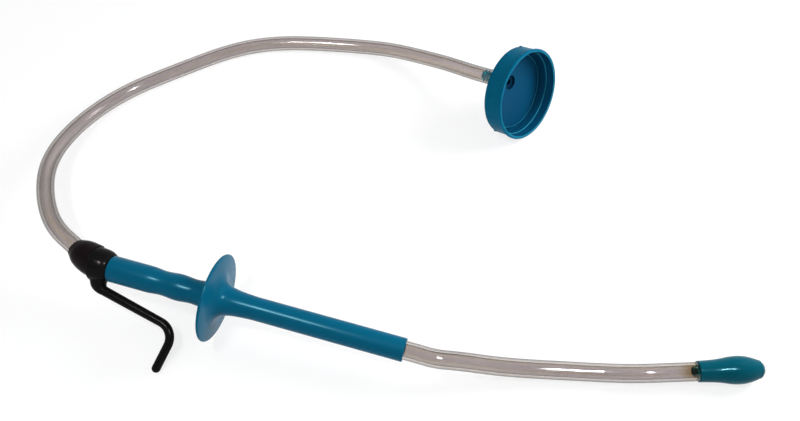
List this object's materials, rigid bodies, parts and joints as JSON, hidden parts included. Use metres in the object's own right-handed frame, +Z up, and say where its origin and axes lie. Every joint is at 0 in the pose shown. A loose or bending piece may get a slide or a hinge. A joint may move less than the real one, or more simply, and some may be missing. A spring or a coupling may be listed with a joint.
{
  "type": "calf feeding tube",
  "caption": "Calf feeding tube: screw cap for the milk container, clear hose, gripped handle with round guard, swivelling hanging hook and bulb-shaped tip.",
  "frame": {"origin": "on the floor, below the middle of the pieces other than the hose", "axes": "+X along the handle from its hook end to its tip end, +Z up, as it lies on the floor"},
  "size_m": [0.7041, 0.4358, 0.0945],
  "materials": {
    "teal_plastic": "glossy moulded",
    "cap_plastic": "semi-gloss moulded",
    "black_plastic": "glossy moulded",
    "black_rubber": "satin",
    "clear_hose": "clear flexible hose"
  },
  "bodies": {
    "tube": {"screw_cap": "cap_plastic", "supply_hose": "clear_hose", "hose_boot": "black_rubber", "handle": "teal_plastic", "handle_hose": "clear_hose", "probe_tube": "clear_hose", "tip_bulb": "teal_plastic"},
    "hook": {"hang_hook": "black_plastic"}
  },
  "joints": [
    {"name": "hook_swivel", "type": "hinge", "parent": "tube", "child": "hook", "pos_m": [-0.26663, -0.1399, 0.04471], "axis": [0.9984, 0, -0.057], "continuous": true}
  ]
}
